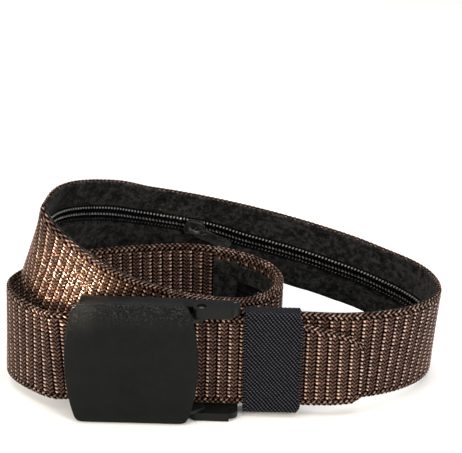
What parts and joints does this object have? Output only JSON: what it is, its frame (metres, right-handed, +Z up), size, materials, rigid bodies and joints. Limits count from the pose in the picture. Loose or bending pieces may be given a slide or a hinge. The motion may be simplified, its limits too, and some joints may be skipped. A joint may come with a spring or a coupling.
{
  "type": "money belt",
  "caption": "Coiled fabric money belt: ribbed strap with a zipped inner pocket, hinged-lid plastic buckle and elastic keeper loop.",
  "frame": {"origin": "on the floor under the middle of the coiled belt's bounding box", "axes": "+X from the buckle towards the keeper, along the coil's longest extent; -Y the side the buckle lid faces; +Z up, across the strap standing on edge"},
  "size_m": [0.1715, 0.0999, 0.076],
  "materials": {
    "webbing_brown": "ribbed nylon weave, matt",
    "lining_black": "plain weave polyester, matt",
    "zip_tape": "woven tape, matt",
    "zip_coil": "nylon coil, satin",
    "thread": "spun thread",
    "buckle_plastic": "fine grained, matt",
    "pin_metal": "blackened steel",
    "elastic_black": "diagonal twill, matt",
    "zip_metal": "black enamel, satin"
  },
  "bodies": {
    "belt": {"pocket_webbing": "webbing_brown", "tail_webbing": "webbing_brown", "lining_upper": "lining_black", "lining_lower": "lining_black", "zip_tape_upper": "zip_tape", "zip_tape_lower": "zip_tape", "zip_coil_upper": "zip_coil", "zip_coil_lower": "zip_coil", "zip_stops": "zip_coil", "lining_patch_buckle_end": "lining_black", "lining_patch_far_end": "lining_black", "overlap_stitching": "thread", "buckle_base": "buckle_plastic", "lid_pin": "pin_metal", "jaw_pin": "pin_metal"},
    "lid": {"buckle_lid": "buckle_plastic"},
    "jaw": {"clamp_jaw": "buckle_plastic"},
    "keeper": {"keeper_band": "elastic_black", "keeper_seam": "elastic_black"},
    "slider": {"zip_slider": "zip_metal"},
    "pull": {"zip_pull": "zip_metal"}
  },
  "joints": [
    {"name": "lid_hinge", "type": "hinge", "parent": "belt", "child": "lid", "pos_m": [-0.0079, -0.04407, 0.0251], "axis": [0, 0, 1], "range_deg": [0, 90]},
    {"name": "jaw_hinge", "type": "hinge", "parent": "belt", "child": "jaw", "pos_m": [0.0045, -0.03527, 0.0237], "axis": [0, 0, -1], "range_deg": [0, 20]},
    {"name": "keeper_slide", "type": "slide", "parent": "belt", "child": "keeper", "axis": [1, 0, 0], "range_m": [0, 0.006]},
    {"name": "zip_travel", "type": "hinge", "parent": "belt", "child": "slider", "pos_m": [0.00894, -0.0913, 0.05386], "axis": [0.2513, 0.1396, 0.9578], "range_deg": [-24, 2]},
    {"name": "pull_hinge", "type": "hinge", "parent": "slider", "child": "pull", "pos_m": [-0.01341, 0.03616, 0.04028], "axis": [-0.5587, 0.2429, -0.793], "range_deg": [0, 30]}
  ]
}
